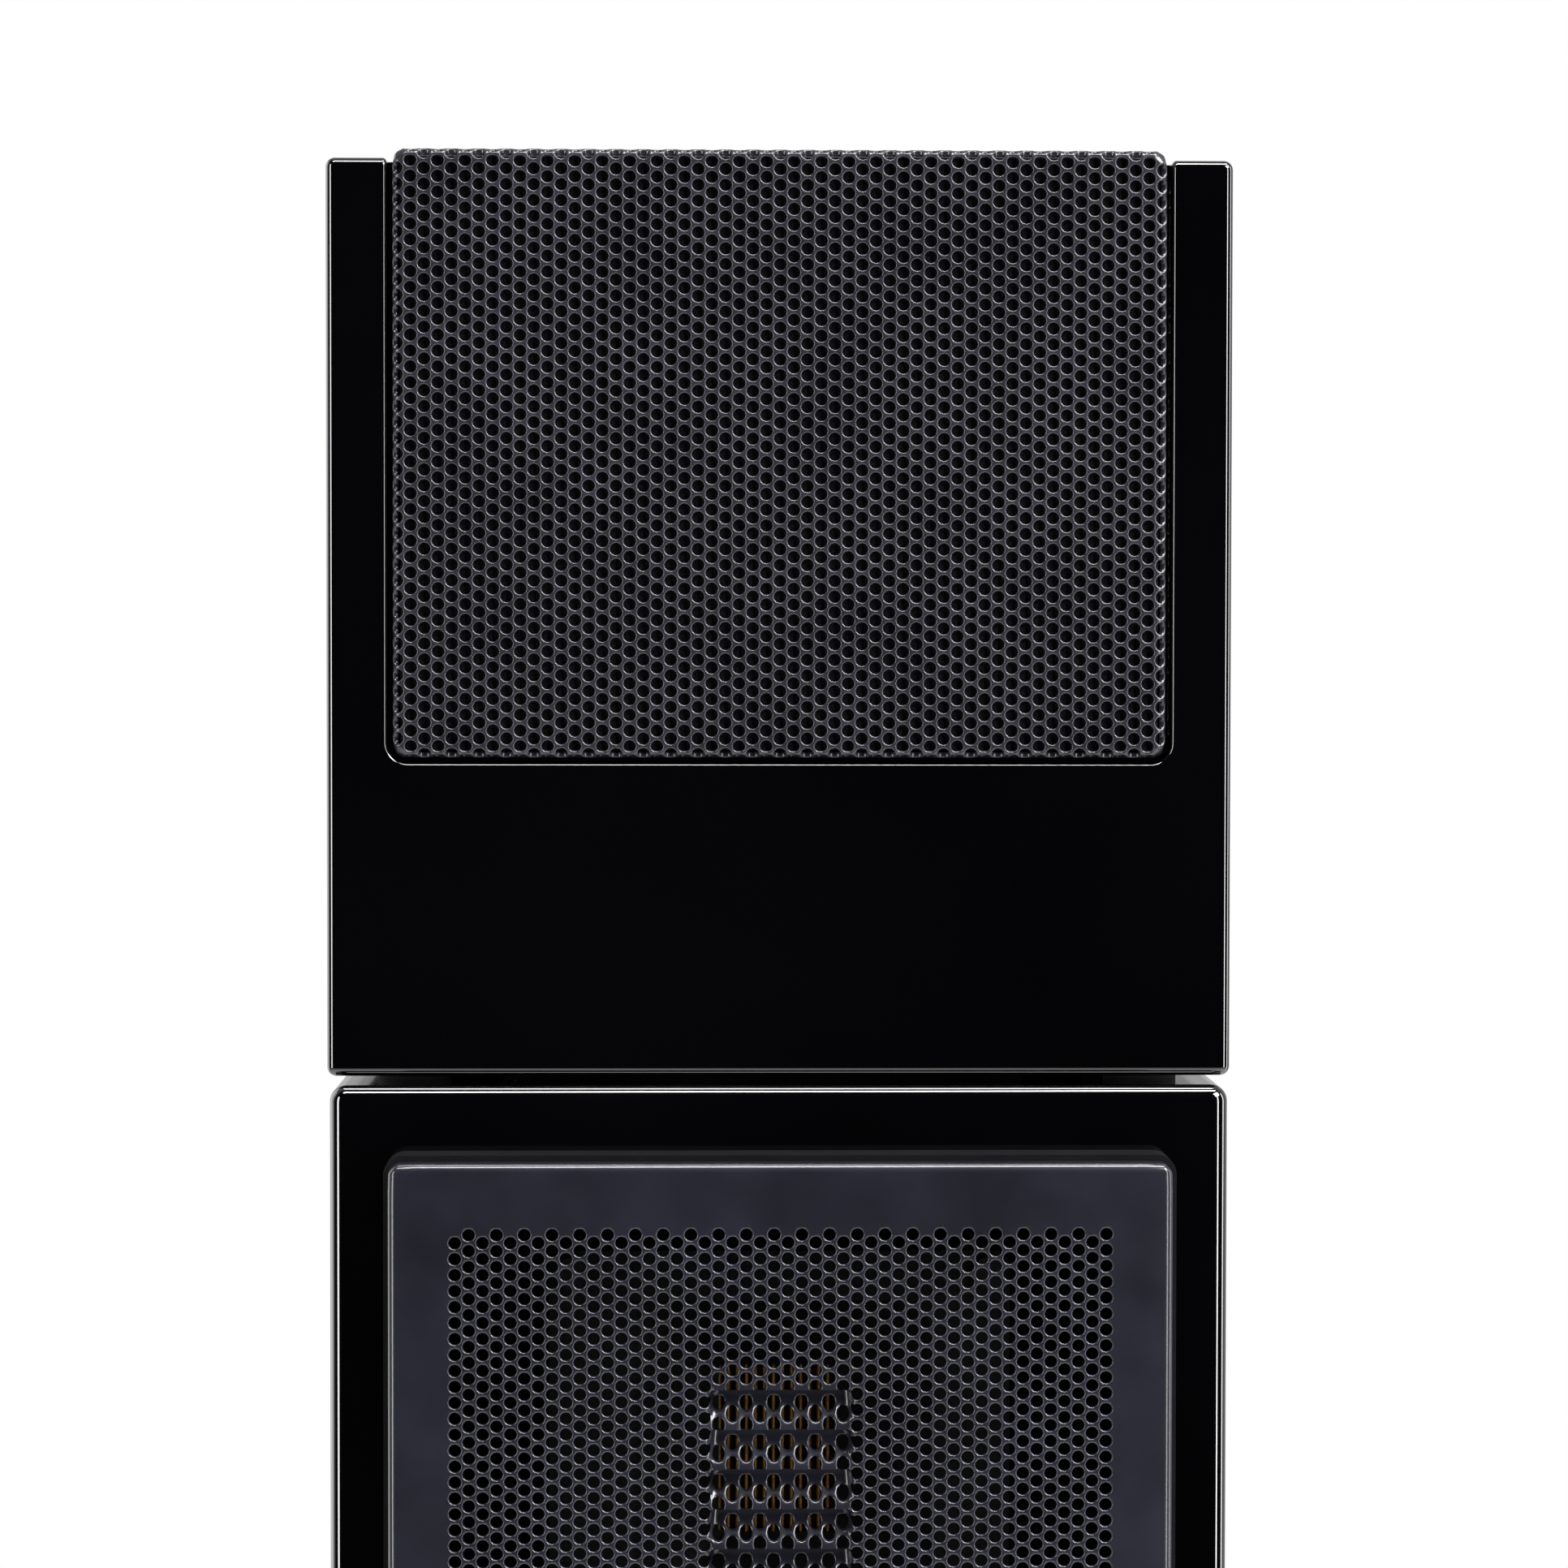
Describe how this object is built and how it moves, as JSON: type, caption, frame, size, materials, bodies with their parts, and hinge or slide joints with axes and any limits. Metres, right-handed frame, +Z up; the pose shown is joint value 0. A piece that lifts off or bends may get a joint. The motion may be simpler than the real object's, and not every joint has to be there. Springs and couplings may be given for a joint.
{
  "type": "floorstanding speaker",
  "caption": "Floorstanding loudspeaker: lacquered tower with a pressed perforated steel grille over a pleated tweeter and woofers, and a lift-off upper module with its own driver and grille.",
  "frame": {"origin": "on the floor under the middle of the whole assembly, cable caps and grille included", "axes": "+Z up, the grilles face -Y, +X to the right seen from the front"},
  "size_m": [0.1956, 0.338, 1.2816],
  "materials": {
    "lacquer": "high-gloss black lacquer over board",
    "grille_steel": "satin dark slate powder coat on perforated steel",
    "module_steel": "satin dark grey powder coat on perforated steel",
    "frame_plastic": "matt black moulded plastic",
    "board": "raw medium density board",
    "port_plastic": "satin black moulded plastic",
    "wadding": "white polyester wadding",
    "foam": "dark grey open-cell foam",
    "rubber": "matt black rubber",
    "screw_steel": "black oxide screws",
    "magnet": "nickel-plated magnet",
    "faceplate": "satin black moulded faceplate",
    "film": "amber polyimide film with etched conductors",
    "motor_steel": "zinc-plated plates and magnet",
    "basket": "black powder-coated cast frame",
    "cone": "black anodised cone",
    "coil": "copper wire on a former",
    "spider": "resin-treated cloth",
    "circuit_board": "green solder mask",
    "film_capacitor": "resin-dipped capacitor",
    "ceramic": "white ceramic resistor",
    "cable": "black cable jacket",
    "terminal_plastic": "black terminal plate",
    "gold": "gold-plated brass",
    "cap_red": "red binding-post cap",
    "cap_black": "black binding-post cap"
  },
  "bodies": {
    "root": {"cabinet_shell": "lacquer", "front_baffle": "lacquer", "cabinet_braces": "board", "port_tube": "port_plastic", "tower_wadding": "wadding", "tower_feet": "rubber", "foot_screws": "screw_steel", "baffle_magnets": "magnet", "tweeter_faceplate": "faceplate", "tweeter_diaphragm": "film", "tweeter_motor": "motor_steel", "tweeter_cup": "faceplate", "driver_screws": "screw_steel", "crossover_board": "circuit_board", "crossover_coils": "coil", "crossover_capacitors": "film_capacitor", "crossover_resistors": "ceramic", "internal_wiring": "cable", "tower_terminal_plate": "terminal_plastic", "tower_posts": "gold", "tower_terminal_screws": "screw_steel", "woofer_upper_basket": "basket", "woofer_upper_motor": "motor_steel", "woofer_upper_surround": "rubber", "woofer_upper_spider": "spider", "woofer_lower_basket": "basket", "woofer_lower_motor": "motor_steel", "woofer_lower_surround": "rubber", "woofer_lower_spider": "spider"},
    "tower_grille": {"tower_grille": "grille_steel", "tower_grille_frame": "frame_plastic"},
    "woofer_upper_cone": {"woofer_upper_cone": "cone", "woofer_upper_voice_coil": "coil"},
    "woofer_lower_cone": {"woofer_lower_cone": "cone", "woofer_lower_voice_coil": "coil"},
    "module": {"module_shell": "lacquer", "module_rear_panel": "terminal_plastic", "module_magnets": "magnet", "module_driver_screws": "screw_steel", "module_panel_screws": "screw_steel", "module_posts": "gold", "module_feet": "rubber", "module_wadding": "wadding", "module_wiring": "cable", "module_driver_basket": "basket", "module_driver_motor": "motor_steel", "module_driver_surround": "rubber", "module_driver_spider": "spider"},
    "module_grille": {"module_grille": "module_steel", "module_foam": "foam"},
    "module_driver_cone": {"module_driver_cone": "cone", "module_driver_voice_coil": "coil"},
    "tower_washer_red": {"tower_washer_red": "gold"},
    "tower_cap_red": {"tower_cap_red": "cap_red"},
    "tower_washer_black": {"tower_washer_black": "gold"},
    "tower_cap_black": {"tower_cap_black": "cap_black"},
    "module_washer_red": {"module_washer_red": "gold"},
    "module_cap_red": {"module_cap_red": "cap_red"},
    "module_washer_black": {"module_washer_black": "gold"},
    "module_cap_black": {"module_cap_black": "cap_black"}
  },
  "joints": [
    {"name": "tower_grille_pull", "type": "slide", "parent": "root", "child": "tower_grille", "axis": [0, -1, 0], "range_m": [0, 0.06]},
    {"name": "module_lift", "type": "slide", "parent": "root", "child": "module", "axis": [0, 0, 1], "range_m": [0, 0.05]},
    {"name": "module_grille_pull", "type": "slide", "parent": "module", "child": "module_grille", "axis": [0, -1, 0], "range_m": [0, 0.04]},
    {"name": "woofer_upper_stroke", "type": "slide", "parent": "root", "child": "woofer_upper_cone", "axis": [0, -1, 0], "range_m": [-0.005, 0.005], "stiffness_N_per_m": 1500, "deforming": ["woofer_upper_surround", "woofer_upper_spider"]},
    {"name": "woofer_lower_stroke", "type": "slide", "parent": "root", "child": "woofer_lower_cone", "axis": [0, -1, 0], "range_m": [-0.005, 0.005], "stiffness_N_per_m": 1500, "deforming": ["woofer_lower_surround", "woofer_lower_spider"]},
    {"name": "module_driver_stroke", "type": "slide", "parent": "module", "child": "module_driver_cone", "axis": [0, -1, 0], "range_m": [-0.003, 0.003], "stiffness_N_per_m": 1200, "deforming": ["module_driver_surround", "module_driver_spider"]},
    {"name": "tower_post_travel_red", "type": "slide", "parent": "root", "child": "tower_washer_red", "axis": [0, 1, 0], "range_m": [0, 0.005]},
    {"name": "tower_post_turn_red", "type": "hinge", "parent": "tower_washer_red", "child": "tower_cap_red", "pos_m": [0.0095, 0.1605, 0.11], "axis": [0, 1, 0], "range_deg": [0, 1800]},
    {"name": "tower_post_travel_black", "type": "slide", "parent": "root", "child": "tower_washer_black", "axis": [0, 1, 0], "range_m": [0, 0.005]},
    {"name": "tower_post_turn_black", "type": "hinge", "parent": "tower_washer_black", "child": "tower_cap_black", "pos_m": [-0.0095, 0.1605, 0.11], "axis": [0, 1, 0], "range_deg": [0, 1800]},
    {"name": "module_post_travel_red", "type": "slide", "parent": "module", "child": "module_washer_red", "axis": [0, 1, 0], "range_m": [0, 0.005]},
    {"name": "module_post_turn_red", "type": "hinge", "parent": "module_washer_red", "child": "module_cap_red", "pos_m": [0.0095, 0.1235, 1.1807], "axis": [0, 1, 0], "range_deg": [0, 1800]},
    {"name": "module_post_travel_black", "type": "slide", "parent": "module", "child": "module_washer_black", "axis": [0, 1, 0], "range_m": [0, 0.005]},
    {"name": "module_post_turn_black", "type": "hinge", "parent": "module_washer_black", "child": "module_cap_black", "pos_m": [-0.0095, 0.1235, 1.1807], "axis": [0, 1, 0], "range_deg": [0, 1800]}
  ],
  "couplings": [
    {"joint": "tower_post_turn_red", "follows": "tower_post_travel_red", "rad_per_m": 6283.2},
    {"joint": "tower_post_turn_black", "follows": "tower_post_travel_black", "rad_per_m": 6283.2},
    {"joint": "module_post_turn_red", "follows": "module_post_travel_red", "rad_per_m": 6283.2},
    {"joint": "module_post_turn_black", "follows": "module_post_travel_black", "rad_per_m": 6283.2}
  ]
}
